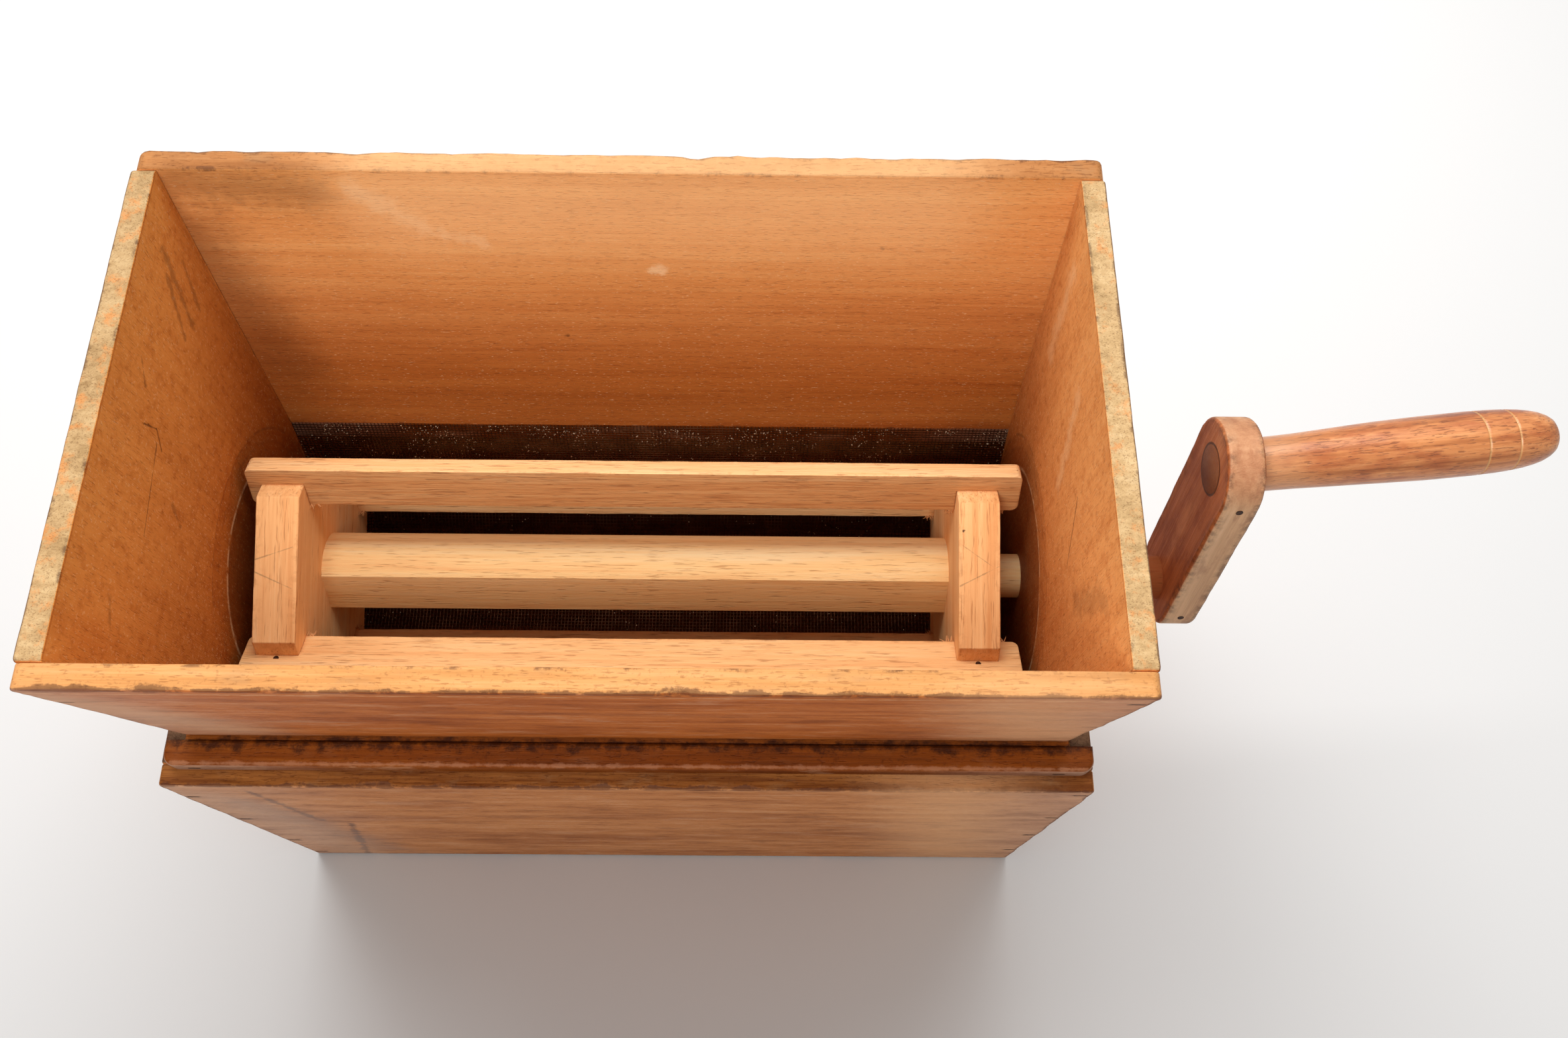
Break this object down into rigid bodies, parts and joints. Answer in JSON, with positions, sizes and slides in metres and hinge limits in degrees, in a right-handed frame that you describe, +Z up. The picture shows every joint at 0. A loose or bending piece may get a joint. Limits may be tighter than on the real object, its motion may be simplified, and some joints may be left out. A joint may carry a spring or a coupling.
{
  "type": "hand-cranked wooden flour sifter",
  "caption": "Wooden box sifter: open hopper with sloping sides over a curved wire screen, paddle rotor turned by a side crank, on a lift-off receiver box.",
  "frame": {"origin": "centre of the receiver box's underside", "axes": "+X along the rotor shaft towards the crank, +Y to the back, +Z up out of the hopper's mouth"},
  "size_m": [0.4802, 0.1782, 0.29],
  "materials": {
    "receiver_wood": "aged oiled wood, satin",
    "hopper_wood": "aged oiled wood, satin",
    "rail_wood": "dark aged wood, worn edges",
    "rotor_wood": "bare planed softwood, matt",
    "crank_wood": "aged red-brown wood",
    "handle_wood": "hand-polished wood, glossy",
    "pin_wood": "dark wood, matt",
    "wire_cloth": "tarnished woven wire",
    "nail_iron": "dark rusted iron"
  },
  "bodies": {
    "receiver": {"receiver_front_board": "receiver_wood", "receiver_back_board": "receiver_wood", "receiver_left_end": "receiver_wood", "receiver_right_end": "receiver_wood", "receiver_floor": "receiver_wood", "receiver_nails": "nail_iron"},
    "hopper": {"hopper_front_board": "hopper_wood", "hopper_back_board": "hopper_wood", "hopper_left_end": "hopper_wood", "hopper_right_end": "hopper_wood", "front_rail": "rail_wood", "back_rail": "rail_wood", "screen": "wire_cloth", "screen_batten": "rail_wood", "hopper_nails": "nail_iron", "rail_nails": "nail_iron", "screen_tacks": "nail_iron"},
    "rotor": {"rotor_shaft": "rotor_wood", "left_plate": "rotor_wood", "right_plate": "rotor_wood", "paddle_front_upper": "rotor_wood", "paddle_back_upper": "rotor_wood", "paddle_back_lower": "rotor_wood", "paddle_front_lower": "rotor_wood", "paddle_nails": "nail_iron", "crank_arm": "crank_wood", "crank_handle": "handle_wood", "crank_pins": "pin_wood"}
  },
  "joints": [
    {"name": "hopper_lift", "type": "slide", "parent": "receiver", "child": "hopper", "axis": [0, 0, 1], "range_m": [0, 0.1]},
    {"name": "rotor_spin", "type": "hinge", "parent": "hopper", "child": "rotor", "pos_m": [0, 0, 0.1469], "axis": [1, 0, 0], "continuous": true}
  ]
}
